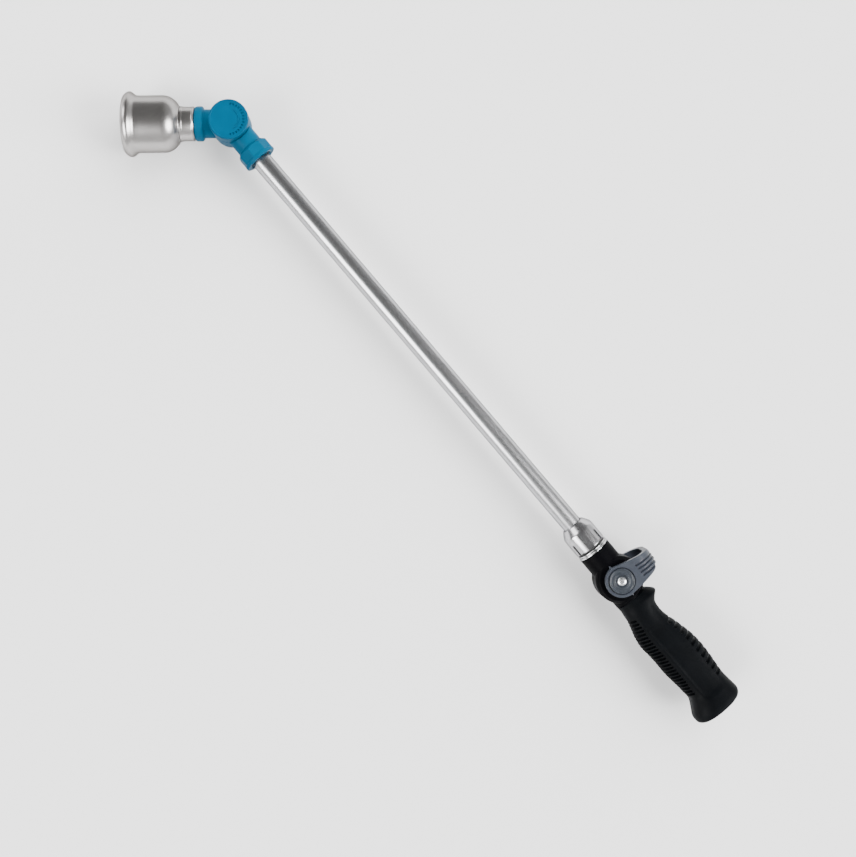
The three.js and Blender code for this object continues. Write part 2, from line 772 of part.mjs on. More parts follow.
const wand = new THREE.Group();
wand.add(
  head,
  pivotFasteners,
  mesh("inlet_arm", inletArm(), TEAL),
  mesh("front_tube_nut", frontNut(), TEAL),
  mesh("front_gland_ring", frontGland(), SEAL_RUBBER),
  mesh("aluminium_tube", aluminiumTube(), ALUMINIUM),
  mesh("rear_tube_nut", rearNut(), CHROME),
  mesh("rear_olive", rearOlive(), BRASS),
  mesh("nut_washer", nutWasher(), SEAL_RUBBER),
  mesh("trim_ring", trimRing(), CHROME),
  mesh("valve_body", valveBody(), BLACK_PLASTIC),
  mesh("valve_plug", valvePlug(), WHITE_PLASTIC),
  mesh("plug_seal_near", plugSeal(PLUG.sealHeight), SEAL_RUBBER),
  mesh("plug_seal_far", plugSeal(-PLUG.sealHeight), SEAL_RUBBER),
  mesh("thumb_lever", thumbLever(), LEVER_GREY),
  mesh("hub_cap_near", hubCap(1), LEVER_GREY),
  mesh("hub_cap_far", hubCap(-1), LEVER_GREY),
  mesh("lever_screw_near", leverScrew(1), ZINC),
  mesh("lever_screw_far", leverScrew(-1), ZINC),
  mesh("rubber_grip", gripSleeve(), GRIP_RUBBER),
  mesh("grip_core", gripCore(), BLACK_PLASTIC),
  mesh("inlet_strainer", inletStrainer(), WHITE_PLASTIC),
  mesh("hose_washer", hoseWasher(), SEAL_RUBBER),
  mesh("inlet_insert", inletInsert(), BRASS),
);

// The part's origin is the middle of the bottom of its box.
const part = new THREE.Group();
part.add(wand);
const extent = new THREE.Box3().setFromObject(part, true);
const middle = extent.getCenter(new THREE.Vector3());
wand.position.set(-middle.x, -middle.y, -extent.min.z);

export default part;
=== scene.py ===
import json
import math

import bmesh
import bpy
from mathutils import Matrix, Vector


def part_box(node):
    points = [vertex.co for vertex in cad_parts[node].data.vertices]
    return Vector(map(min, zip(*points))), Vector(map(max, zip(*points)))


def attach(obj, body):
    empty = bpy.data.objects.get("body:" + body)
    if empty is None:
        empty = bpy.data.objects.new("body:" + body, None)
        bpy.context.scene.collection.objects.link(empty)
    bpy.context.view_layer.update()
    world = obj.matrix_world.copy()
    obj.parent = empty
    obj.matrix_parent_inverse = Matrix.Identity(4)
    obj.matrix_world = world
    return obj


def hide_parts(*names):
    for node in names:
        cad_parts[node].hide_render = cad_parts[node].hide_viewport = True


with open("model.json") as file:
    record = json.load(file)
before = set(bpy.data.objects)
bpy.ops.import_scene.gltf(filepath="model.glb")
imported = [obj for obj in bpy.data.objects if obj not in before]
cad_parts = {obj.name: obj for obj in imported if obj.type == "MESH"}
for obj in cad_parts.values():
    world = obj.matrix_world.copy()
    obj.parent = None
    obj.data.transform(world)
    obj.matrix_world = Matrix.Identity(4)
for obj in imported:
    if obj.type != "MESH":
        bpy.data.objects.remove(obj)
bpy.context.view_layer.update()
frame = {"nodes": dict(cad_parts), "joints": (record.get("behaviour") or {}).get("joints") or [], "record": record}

# The watering wand lies on its side on a pale floor, seen from above. Shapes are worked out in
# millimetres, in one of three local frames, and placed in the row frame in metres.
MM = 0.001
JOINTS = {joint["name"]: joint for joint in frame["joints"]}
PIVOT = Vector(JOINTS["head_pivot"]["pos_m"])
VALVE = Vector(JOINTS["lever_turn"]["pos_m"])


def middle(node):
    low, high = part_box(node)
    return (low + high) / 2


# Local frames: at the pivot along the tube, at the pivot along the head, and at the valve.
HEAD_LINE = middle("bell_ferrule") - PIVOT
HEAD_TURN = math.atan2(HEAD_LINE.y, HEAD_LINE.x)
AT_PIVOT = Matrix.Translation(PIVOT)
AT_HEAD = AT_PIVOT @ Matrix.Rotation(HEAD_TURN, 4, "Z")
AT_VALVE = Matrix.Translation(VALVE)


def span(node, place):
    """A CAD node's first and last place along a local frame's X axis, in mm."""
    back = place.inverted()
    along = [(back @ corner.co).x / MM for corner in frame["nodes"][node].data.vertices]
    return min(along), max(along)


# ---- Outlines --------------------------------------------------------------------------------
def sweep(first, last, steps):
    """Evenly spaced angles between two angles in degrees, both included, as radians."""
    return [math.radians(first + (last - first) * k / steps) for k in range(steps + 1)]


def regular(radius, sides, first):
    """A regular polygon's corners, with the first at an angle in degrees."""
    return [(radius * math.cos(a), radius * math.sin(a))
            for a in sweep(first, first + 360, sides)[:-1]]


def bent(start, control, end, steps):
    """Points on a quadratic curve, with both ends."""
    points = []
    for k in range(steps + 1):
        t = k / steps
        points.append(start.lerp(control, t).lerp(control.lerp(end, t), t))
    return points


def rounded(points, steps=5):
    """An open outline of (x, y) or (x, y, rounding) points, with its corners rounded off."""
    outline = []
    for i, point in enumerate(points):
        here = Vector(point[:2])
        size = point[2] if len(point) > 2 else 0
        if not size or i in (0, len(points) - 1):
            outline.append(here)
            continue
        before = Vector(points[i - 1][:2]) - here
        after = Vector(points[i + 1][:2]) - here
        size = min(size, before.length * 0.49, after.length * 0.49)
        start = here + before.normalized() * size
        end = here + after.normalized() * size
        outline += bent(start, here, end, steps)
    return outline


# ---- Mesh tools ------------------------------------------------------------------------------
def new_object(name, data):
    made = bpy.data.objects.new(name, data)
    bpy.context.scene.collection.objects.link(made)
    return made


def discard(piece):
    mesh = piece.data
    bpy.data.objects.remove(piece)
    bpy.data.meshes.remove(mesh)


def from_bmesh(name, bm):
    bmesh.ops.remove_doubles(bm, verts=bm.verts, dist=1e-5)
    bmesh.ops.recalc_face_normals(bm, faces=bm.faces)
    mesh = bpy.data.meshes.new(name)
    bm.to_mesh(mesh)
    bm.free()
    return new_object(name, mesh)


def bridge(bm, one, two):
    """A closed band of faces between two rings with the same number of vertices."""
    for i in range(len(one)):
        j = (i + 1) % len(one)
        bm.faces.new((one[i], one[j], two[j], two[i]))


def revolve(name, outline, sides=96, axis="X", centre=(0, 0), loop=False):
    """An outline of (along, radius) points turned about a line parallel to X or Z."""
    bm = bmesh.new()
    rings = []
    for along, radius in outline:
        ring = []
        for i in range(sides if radius > 1e-6 else 1):
            angle = 2 * math.pi * i / sides
            across = (centre[0] + radius * math.cos(angle), centre[1] + radius * math.sin(angle))
            ring.append(bm.verts.new((along, *across) if axis == "X" else (*across, along)))
        rings.append(ring)
    for one, two in zip(rings, rings[1:] + (rings[:1] if loop else [])):
        for i in range(sides):
            j = (i + 1) % sides
            corners = [one[i % len(one)], one[j % len(one)], two[j % len(two)], two[i % len(two)]]
            distinct = list(dict.fromkeys(corners))
            if len(distinct) > 2:
                bm.faces.new(distinct)
    return from_bmesh(name, bm)


def rod(name, start, end, radius, sides=96, axis="X", centre=(0, 0)):
    """A plain cylinder."""
    outline = [(start, 0), (start, radius), (end, radius), (end, 0)]
    return revolve(name, outline, sides, axis, centre)


def sleeve(name, ends, inner, outer, rounding, steps, sides=96, centre=(0, 0)):
    """A plain tube along X, with its outer corners rounded."""
    start, end = ends
    outline = rounded([(start, inner), (start, outer, rounding), (end, outer, rounding),
                       (end, inner)], steps)
    return revolve(name, outline, sides, centre=centre, loop=True)


def prism(name, outline, low, high, axis="Z"):
    """A flat outline pushed from low to high along Z, or along X with the outline in (y, z)."""
    bm = bmesh.new()
    ends = []
    for level in (low, high):
        ends.append([bm.verts.new((a, b, level) if axis == "Z" else (level, a, b))
                     for a, b in outline])
    bm.faces.new(ends[0])
    bm.faces.new(ends[1])
    bridge(bm, *ends)
    return from_bmesh(name, bm)


def block(name, size, place=Matrix.Identity(4)):
    """A box about the origin, then placed."""
    bm = bmesh.new()
    bmesh.ops.create_cube(bm, size=1, matrix=Matrix.Diagonal((*size, 1)))
    bm.transform(place)
    return from_bmesh(name, bm)


def bake(piece):
    """Applies a piece's modifiers to its mesh."""
    bpy.context.view_layer.update()
    shaped = piece.evaluated_get(bpy.context.evaluated_depsgraph_get())
    mesh = bpy.data.meshes.new_from_object(shaped)
    piece.modifiers.clear()
    old, piece.data = piece.data, mesh
    bpy.data.meshes.remove(old)
    return piece


def combine(piece, others, operation):
    for other in others:
        step = piece.modifiers.new("combine", "BOOLEAN")
        step.object = other
        step.operation = operation
        step.solver = "EXACT"
        bake(piece)
        discard(other)


def fuse(piece, *others):
    """Joins other pieces to a piece, and uses them up."""
    combine(piece, others, "UNION")


def carve(piece, *others):
    """Cuts other pieces from a piece, and uses them up."""
    combine(piece, others, "DIFFERENCE")


def trim(piece, other):
    """Keeps what a piece shares with another, and uses the other up."""
    combine(piece, [other], "INTERSECT")


def join_meshes(piece, other):
    """Adds another closed shell to a piece's mesh, and uses it up."""
    bm = bmesh.new()
    bm.from_mesh(piece.data)
    bm.from_mesh(other.data)
    bm.to_mesh(piece.data)
    bm.free()
    discard(other)


def mirror(piece):
    """Turns a piece for the near side into one for the far side."""
    piece.data.transform(Matrix.Scale(-1, 4, (0, 0, 1)))
    piece.data.flip_normals()


def soften(piece, voxel, passes):
    """Remeshes a piece evenly and smooths it, so that its edges and joins get moulded radii."""
    grid = piece.modifiers.new("grid", "REMESH")
    grid.mode = "VOXEL"
    grid.voxel_size = voxel
    smooth = piece.modifiers.new("smooth", "SMOOTH")
    smooth.factor = 0.5
    smooth.iterations = passes
    bake(piece)


def bevel(piece, width, segments, angle=30):
    """Rounds off the edges that turn by more than an angle in degrees."""
    edge = piece.modifiers.new("bevel", "BEVEL")
    edge.width = width
    edge.segments = segments
    edge.limit_method = "ANGLE"
    edge.angle_limit = math.radians(angle)
    return bake(piece)


def finish(piece, place, body, material, replaced, sharp=40):
    """Places a finished piece in the row frame, on the body it moves with, and hides the CAD parts it replaces.

    Edges that turn by more than the sharp angle, in degrees, are left out of smooth shading.
    """
    piece.data.transform(place @ Matrix.Scale(MM, 4))
    bm = bmesh.new()
    bm.from_mesh(piece.data)
    for face in bm.faces:
        face.smooth = True
    for edge in bm.edges:
        edge.smooth = len(edge.link_faces) == 2 and edge.calc_face_angle(0) < math.radians(sharp)
    bm.to_mesh(piece.data)
    bm.free()
    piece.data.materials.clear()
    piece.data.materials.append(material)
    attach(piece, body)
    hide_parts(*replaced)


# ---- Materials -------------------------------------------------------------------------------
def new_material(name, color, roughness, metallic=0.0):
    material = bpy.data.materials.new(name)
    material.use_nodes = True
    tree = material.node_tree
    shader = tree.nodes["Principled BSDF"]
    shader.inputs["Base Color"].default_value = (*color, 1)
    shader.inputs["Roughness"].default_value = roughness
    shader.inputs["Metallic"].default_value = metallic
    return material, tree, shader


def grain(tree, scale, detail, stretch=(1, 1, 1), turn=0.0):
    """Noise in the object's own space, stretched along its axes after a turn about Z."""
    place = tree.nodes.new("ShaderNodeTexCoord")
    mapping = tree.nodes.new("ShaderNodeMapping")
    mapping.inputs["Rotation"].default_value = (0, 0, turn)
    mapping.inputs["Scale"].default_value = stretch
    noise = tree.nodes.new("ShaderNodeTexNoise")
    noise.inputs["Scale"].default_value = scale
    noise.inputs["Detail"].default_value = detail
    tree.links.new(place.outputs["Object"], mapping.inputs["Vector"])
    tree.links.new(mapping.outputs["Vector"], noise.inputs["Vector"])
    return noise.outputs["Fac"]


def ranged(tree, source, low, high, start=0.3, end=0.7):
    """Maps a value between start and end, such as noise, to one between low and high."""
    spread = tree.nodes.new("ShaderNodeMapRange")
    spread.inputs["From Min"].default_value = start
    spread.inputs["From Max"].default_value = end
    spread.inputs["To Min"].default_value = low
    spread.inputs["To Max"].default_value = high
    tree.links.new(source, spread.inputs["Value"])
    return spread.outputs["Result"]


def scaled(color, factor):
    return tuple(channel * factor for channel in color)


def tint(tree, shader, source, color, least, most):
    """Lets the base colour drift between two strengths of a colour."""
    mix = tree.nodes.new("ShaderNodeMix")
    mix.data_type = "RGBA"
    mix.inputs["A"].default_value = (*scaled(color, least), 1)
    mix.inputs["B"].default_value = (*scaled(color, most), 1)
    tree.links.new(ranged(tree, source, 0, 1), mix.inputs["Factor"])
    tree.links.new(mix.outputs["Result"], shader.inputs["Base Color"])


def roughen(tree, shader, source, low, high):
    """Lets the roughness drift between two values."""
    tree.links.new(ranged(tree, source, low, high), shader.inputs["Roughness"])


def relief(tree, shader, source, strength, depth):
    """Fine relief, with its depth in mm."""
    bump = tree.nodes.new("ShaderNodeBump")
    bump.inputs["Strength"].default_value = strength
    bump.inputs["Distance"].default_value = depth * MM
    tree.links.new(source, bump.inputs["Height"])
    tree.links.new(bump.outputs["Normal"], shader.inputs["Normal"])


def moulded_plastic(name, color, roughness, texture, drift=0.12, shine=0.5):
    """Moulded plastic: a fine spark-eroded texture, slow colour drift and uneven gloss."""
    material, tree, shader = new_material(name, color, roughness)
    shader.inputs["Specular IOR Level"].default_value = shine
    tint(tree, shader, grain(tree, 90, 3), color, 1 - drift, 1 + drift)
    roughen(tree, shader, grain(tree, 260, 5), roughness - 0.06, roughness + 0.08)
    relief(tree, shader, grain(tree, 2600, 2), texture, 0.08)
    return material


def worked_metal(name, color, roughness, stretch, scratch, turn=0.0, spread=0.08):
    """Metal with the fine parallel marks of drawing or turning, along one direction."""
    material, tree, shader = new_material(name, color, roughness, 1.0)
    shader.inputs["Specular Tint"].default_value = (*scaled(color, 0.8), 1)
    marks = grain(tree, 900, 3, stretch, turn)
    tint(tree, shader, grain(tree, 60, 3), color, 0.93, 1.04)
    roughen(tree, shader, marks, roughness - spread, roughness + spread)
    relief(tree, shader, marks, scratch, 0.02)
    return material


def soft_rubber(name, color, roughness, texture, sheen):
    """Overmoulded rubber: fine grain, dusty sheen and faint handling marks."""
    material, tree, shader = new_material(name, color, roughness)
    shader.inputs["Specular IOR Level"].default_value = 0.04
    shader.inputs["Sheen Weight"].default_value = sheen
    shader.inputs["Sheen Roughness"].default_value = 0.5
    tint(tree, shader, grain(tree, 45, 5), color, 0.8, 1.3)
    roughen(tree, shader, grain(tree, 130, 5), roughness - 0.08, roughness + 0.1)
    relief(tree, shader, grain(tree, 3200, 3), texture, 0.1)
    return material


# How a metal's marks are stretched: round a part, along it, or not at all.
RINGS = (40, 0.6, 0.6)
DRAWN = (0.6, 14, 14)
EVEN = (1, 1, 1)

TEAL = moulded_plastic("teal_plastic", (0.0, 0.047, 0.089), 0.38, 0.12, drift=0.06, shine=0.03)
TEAL_CAP = moulded_plastic("teal_cap_plastic", (0.0, 0.043, 0.086), 0.4, 0.12, drift=0.06,
                           shine=0.03)
BELL_METAL = worked_metal("bell_metal", (0.37, 0.357, 0.35), 0.29, RINGS, 0.12,
                          turn=-HEAD_TURN, spread=0.04)
FACE_METAL = worked_metal("face_metal", (0.5, 0.5, 0.5), 0.26, EVEN, 0.1)
TUBE_METAL = worked_metal("tube_metal", (0.43, 0.43, 0.44), 0.28, DRAWN, 0.15)
NUT_METAL = worked_metal("nut_metal", (0.43, 0.425, 0.435), 0.22, RINGS, 0.1)
CHROME = worked_metal("chrome", (0.56, 0.56, 0.565), 0.1, RINGS, 0.05, spread=0.03)
ZINC = worked_metal("zinc", (0.8, 0.81, 0.83), 0.28, EVEN, 0.15)
BRASS = worked_metal("brass", (0.74, 0.53, 0.22), 0.25, RINGS, 0.15)
GREY = moulded_plastic("lever_plastic", (0.0165, 0.0195, 0.0265), 0.38, 0.2, drift=0.08, shine=0.4)
CAP_GREY = moulded_plastic("hub_cap_plastic", (0.016, 0.019, 0.024), 0.32, 0.15, drift=0.08,
                           shine=0.35)
BLACK = moulded_plastic("black_plastic", (0.0011, 0.0011, 0.0015), 0.42, 0.3, shine=0.02)
RUBBER = soft_rubber("grip_rubber", (0.0011, 0.0014, 0.0018), 0.5, 0.5, sheen=0.0)
SEALING = soft_rubber("seal_rubber", (0.02, 0.02, 0.02), 0.6, 0.3, sheen=0.1)
WHITE = moulded_plastic("white_plastic", (0.75, 0.75, 0.72), 0.4, 0.1, drift=0.04)

NODE_MATERIALS = {
    "teal_plastic": TEAL,
    "bell_metal": BELL_METAL,
    "tube_aluminium": TUBE_METAL,
    "chrome": CHROME,
    "zinc": ZINC,
    "brass": BRASS,
    "lever_grey": GREY,
    "black_plastic": BLACK,
    "seal_rubber": SEALING,
    "grip_rubber": RUBBER,
    "white_plastic": WHITE,
}


def dress_cad_nodes():
    """Gives every CAD node the finished material of its slot."""
    for entry in frame["record"]["subparts"]:
        node = frame["nodes"][entry["node"]]
        node.data.materials.clear()
        node.data.materials.append(NODE_MATERIALS[entry["material_slot"]])


# ---- Spray head, in the head's frame ---------------------------------------------------------
BELL_BACK, BELL_SHOULDER, BELL_FLARE, BELL_RIM = 43.4, 57.9, 80.4, 85.4
BELL_R, SHOULDER_R, RIM_R, SHEET = 24.4, 15.3, 28.1, 1.2
NECK_HOLE_R = 11  # where the bell and the ferrule fit over the nipple


def shoulder(inset):
    """The bell's round shoulder, from the ferrule to the straight wall."""
    size = SHOULDER_R - inset
    return [(BELL_SHOULDER + size * math.cos(a), BELL_R - SHOULDER_R + size * math.sin(a))
            for a in sweep(155, 90, 16)]


def spray_bell():
    """The thin bell: a round shoulder, a straight wall and a flared mouth with a rolled lip."""
    outside = [(BELL_BACK, NECK_HOLE_R), (BELL_BACK, shoulder(0)[0][1] - 0.4)] + shoulder(0)
    flare = rounded([
        (BELL_FLARE - 6, BELL_R), (BELL_FLARE, BELL_R, 3), (BELL_FLARE + 2.6, BELL_R + 2.1, 2),
        (BELL_RIM, RIM_R, 1.6), (BELL_RIM + 2.8, RIM_R - 0.6, 2),
        (BELL_RIM + 5.2, RIM_R - 2.5, 1.5), (BELL_RIM + 6, RIM_R - 4, 0.5),
        (BELL_RIM + 4.8, RIM_R - 3.6, 1),
        (BELL_RIM + 2.4, RIM_R - 2.1, 2), (BELL_RIM, RIM_R - 1.5, 1.5),
        (BELL_FLARE + 3, BELL_R + 1, 2), (BELL_FLARE, BELL_R - SHEET, 2),
        (BELL_FLARE - 6, BELL_R - SHEET),
    ], 6)
    inside = shoulder(SHEET)[::-1] + [(BELL_BACK + SHEET, NECK_HOLE_R)]
    bell = revolve("bell", outside + flare + inside, 160, loop=True)
    finish(bell, AT_HEAD, "spray_head", BELL_METAL, ["spray_bell"], 50)


FACE_EDGE, FACE_APEX, FACE_R = 86.0, 90.3, 24.2
FACE_SHEET, FACE_SKIRT = 1, 2
HOLE_RINGS, HOLE_R, HOLE_PITCH = 7, 0.65, 3.15
DRILL_LENGTH = 16


def spray_face():
    """A domed plate with a short skirt, and its spray holes in rings."""
    dome = [(FACE_EDGE + (FACE_APEX - FACE_EDGE) * (1 - (k / 12) ** 2), FACE_R * k / 12)
            for k in range(13)]
    skirt = [(FACE_EDGE - FACE_SKIRT, FACE_R), (FACE_EDGE - FACE_SKIRT, FACE_R - FACE_SHEET)]
    back = [(along - FACE_SHEET, radius) for along, radius in dome[-2::-1]]
    plate = revolve("face_plate", dome + skirt + back, 120)
    drills = bmesh.new()
    for ring in range(1, HOLE_RINGS + 1):
        count = 6 * ring
        for i in range(count):
            angle = 2 * math.pi * (i + 0.5 * (ring % 2)) / count
            reach = HOLE_PITCH * ring
            spot = Matrix.Translation((FACE_APEX - 4, reach * math.cos(angle),
                                       reach * math.sin(angle)))
            bmesh.ops.create_cone(drills, cap_ends=True, segments=10, radius1=HOLE_R,
                                  radius2=HOLE_R, depth=DRILL_LENGTH,
                                  matrix=spot @ Matrix.Rotation(math.pi / 2, 4, "Y"))
    carve(plate, from_bmesh("drills", drills))
    finish(plate, AT_HEAD, "spray_head", FACE_METAL, ["spray_face"], 35)


def bell_ferrule():
    """The sleeve behind the bell, with a raised band at each end."""
    start, end = span("bell_ferrule", AT_HEAD)
    ferrule = revolve("ferrule", rounded([
        (start, NECK_HOLE_R), (start, 13.9, 0.2), (start + 1.5, 15, 0.3), (start + 2.1, 14.6, 0.3),
        (end - 2.6, 14.6, 0.3), (end - 2.1, 14.95, 0.3), (end, 14.95, 0.4), (end, NECK_HOLE_R),
    ], 3), 128, loop=True)
    finish(ferrule, AT_HEAD, "spray_head", BELL_METAL, ["bell_ferrule"])


# ---- Pivot, in the head's frame or the pivot's -----------------------------------------------
BARREL_R, BARREL_TOP, BARREL_SPLIT = 17.2, 16.4, 3.15
BARREL_CLEARANCE, SPLIT_GAP = 0.3, 0.15
ARM_VOXEL, ARM_PASSES = 0.28, 3
CAP_GAP, CAP_TOP, CAP_R, CAP_DISH = 0.1, 18.5, 17.1, 0.6
TUBE_SOCKET_R = 9.05


def barrel_half(split, top):
    """One half of the pivot's barrel, from the split to its outer end."""
    outline = rounded([(split, 0), (split, BARREL_R, 0.3), (top, BARREL_R, 0.5), (top, 0)], 4)
    return revolve("barrel", outline, 128, "Z")


def barrel_clear(start, end):
    """Room for the barrel's other half."""
    return rod("clear", start, end, BARREL_R + BARREL_CLEARANCE, axis="Z")


def outlet_arm():
    """The head's arm: near half of the barrel, neck and rounded collar."""
    end = 30.2
    arm = revolve("outlet_arm", rounded([
        (6, 0), (6, 12.3), (22.2, 12.3, 0.6), (23.2, 14.4, 0.8), (24.2, 15.0, 0.8),
        (28.6, 15.0, 1.2), (end - 0.2, 14.2, 0.5), (end, 13.4, 0.3), (end, 0),
    ], 4))
    carve(arm, barrel_clear(-30, BARREL_SPLIT))
    fuse(arm, barrel_half(BARREL_SPLIT, BARREL_TOP))
    carve(arm, rod("bore", 20, 40, NECK_HOLE_R, 64))
    soften(arm, ARM_VOXEL, ARM_PASSES)
    finish(arm, AT_HEAD, "spray_head", TEAL, ["outlet_arm"], 60)


def inlet_arm():
    """The wand's arm: far half of the barrel and the neck that runs into the tube nut."""
    nut_start, nut_end = span("front_tube_nut", AT_PIVOT)
    split = BARREL_SPLIT - SPLIT_GAP
    arm = revolve("inlet_arm", rounded([
        (6, 0), (6, 11.6), (nut_start - 1.4, 11.6, 0.4), (nut_start - 0.9, 12.3, 0.3),
        (nut_start - 0.3, 12.3, 0.2), (nut_start - 0.2, 11.9), (nut_end - 5, 11.9),
        (nut_end - 5, 0),
    ], 4))
    carve(arm, barrel_clear(split, 30))
    fuse(arm, barrel_half(split, -BARREL_TOP))
    carve(arm, rod("bore", nut_start - 6, 60, TUBE_SOCKET_R, 64))
    soften(arm, ARM_VOXEL, ARM_PASSES)
    finish(arm, AT_PIVOT, "wand_body", TEAL, ["inlet_arm"], 60)


def pivot_disc(name, side):
    """A disc over one end of the barrel, with a shallow dished face."""
    base, dish = BARREL_TOP + CAP_GAP, CAP_TOP - CAP_DISH
    outline = [(base, 0), (base, CAP_R, 0.2), (CAP_TOP - 0.5, CAP_R, 0.8), (CAP_TOP, 15.9, 0.5),
               (CAP_TOP - 0.5, 15.4, 0.3), (dish, 14.6), (dish, 0)]
    return revolve(name, rounded([(side * along, *rest) for along, *rest in outline], 4), 128, "Z")


MARKS, MARK_REACH, MARK_SPREAD, MARK_SIZE = 15, 13.1, 82, (2.0, 1.25, 1.6)
ARC_INNER, ARC_OUTER, ARC_SPREAD, ARC_STEPS = 8.5, 9.4, 62, 24
MARK_TURN = HEAD_TURN + math.pi  # the marks face away from the bell


def pivot_cap_near():
    """The near disc, with a ring of short pressed marks and a raised arc."""
    cap = pivot_disc("pivot_disc", 1)
    dish = CAP_TOP - CAP_DISH
    marks = bmesh.new()
    for angle in sweep(-MARK_SPREAD, MARK_SPREAD, MARKS - 1):
        spot = Matrix.Rotation(angle, 4, "Z") @ Matrix.Translation((MARK_REACH, 0, dish))
        bmesh.ops.create_cube(marks, size=1, matrix=spot @ Matrix.Diagonal((*MARK_SIZE, 1)))
    carve(cap, from_bmesh("marks", marks))
    angles = sweep(-ARC_SPREAD, ARC_SPREAD, ARC_STEPS)
    band = [(ARC_OUTER * math.cos(a), ARC_OUTER * math.sin(a)) for a in angles]
    band += [(ARC_INNER * math.cos(a), ARC_INNER * math.sin(a)) for a in reversed(angles)]
    join_meshes(cap, bevel(prism("arc", band, dish - 0.1, dish + 0.5), 0.2, 2))
    finish(cap, AT_PIVOT @ Matrix.Rotation(MARK_TURN, 4, "Z"), "spray_head", TEAL_CAP,
           ["pivot_cap_near"], 35)


def pivot_cap_far():
    finish(pivot_disc("far_disc", -1), AT_PIVOT, "wand_body", TEAL_CAP, ["pivot_cap_far"],
           35)


# ---- Tube and its nuts -----------------------------------------------------------------------
NUT_FLATS = 8
RING_BORE = 11.5  # the washer's, the trim ring's and the rear nut's, over the valve's neck


def front_tube_nut():
    """A teal nut with soft flats and a round flange at its open end."""
    start, end = span("front_tube_nut", AT_PIVOT)
    nut = prism("tube_nut", regular(15, NUT_FLATS, 15), start, end - 1.5, "X")
    trim(nut, revolve("cone", [(start - 1, 0), (start - 1, 12.2), (start + 2.4, 15.2), (end, 15.2),
                               (end, 0)]))
    bevel(nut, 0.5, 3, 15)
    fuse(nut, revolve("flange", rounded([(end - 3.2, 0), (end - 3.2, 14.9, 0.9), (end, 14.9, 1.2),
                                         (end, 0)]), 128))
    carve(nut, revolve("bore", rounded([
        (start - 1, 0), (start - 1, 12.3), (end - 2.2, 12.3), (end - 2.2, 9.9), (end - 1.4, 9.9),
        (end + 0.4, 12), (end + 0.4, 0),
    ], 3)))
    finish(nut, AT_PIVOT, "wand_body", TEAL, ["front_tube_nut"], 28)


def tube():
    piece = sleeve("tube", span("aluminium_tube", AT_PIVOT), 7.75, 8.75, 0.3, 3, 128)
    finish(piece, AT_PIVOT, "wand_body", TUBE_METAL, ["aluminium_tube"], 50)


NUT_NOSE_R, NUT_R = 10.3, 14.75
LAND_START, LAND_MARGIN, LAND_REACH, LAND_TURN = 13.2, 0.2, 14.35, 2.5
LAND_WIDTH, LAND_DEPTH = 5.8, 2


def rear_tube_nut():
    """A bright nut: a tapered nose, flats, and shallow lands milled beside the washer."""
    start, end = span("rear_tube_nut", AT_VALVE)
    nut = prism("rear_nut", regular(15.6, NUT_FLATS, 25), start, end, "X")
    trim(nut, revolve("turned", rounded([
        (start - 0.01, 0), (start - 0.01, NUT_NOSE_R, 0.4), (start + 0.9, 10.9, 0.5),
        (start + 7, NUT_R, 1.5), (end - 0.5, NUT_R, 0.3), (end + 0.01, 14.3), (end + 0.01, 0),
    ]), 160))
    first, last = start + LAND_START, end - LAND_MARGIN
    for i in range(NUT_FLATS):
        turn = Matrix.Rotation(math.radians(LAND_TURN + 360 / NUT_FLATS * i), 4, "X")
        spot = Matrix.Translation(((first + last) / 2, 0, LAND_REACH))
        carve(nut, block("land", (last - first, LAND_WIDTH, LAND_DEPTH), turn @ spot))
    bevel(nut, 0.22, 2, 12)
    carve(nut, revolve("bore", [
        (start - 1, 0), (start - 1, TUBE_SOCKET_R), (start + 8.7, TUBE_SOCKET_R),
        (start + 8.7, RING_BORE), (end + 1, RING_BORE), (end + 1, 0),
    ]))
    finish(nut, AT_VALVE, "wand_body", NUT_METAL, ["rear_tube_nut"], 14)


# ---- Valve, in the valve's frame -------------------------------------------------------------
def nut_washer():
    piece = sleeve("washer", span("nut_washer", AT_VALVE), RING_BORE, 13.5, 0.3, 4)
    finish(piece, AT_VALVE, "wand_body", SEALING, ["nut_washer"], 50)


def trim_ring():
    """A bright ring with a step turned into it."""
    start, end = span("trim_ring", AT_VALVE)
    centre = (start + end) / 2
    ring = revolve("ring", rounded([
        (start, RING_BORE), (start, 14.3, 0.5), (centre - 0.7, 14.5, 0.5),
        (centre - 0.2, 13.6, 0.3), (centre + 0.5, 14.7, 0.5), (end, 14.7, 0.5), (end, RING_BORE),
    ], 4), 160, loop=True)
    finish(ring, AT_VALVE, "wand_body", CHROME, ["trim_ring"])


BOSS_R, BOSS_TOP = 20.7, 14.2
VALVE_NECK_R, REAR_R, PLUG_BORE_R = 14.75, 13.8, 9.8


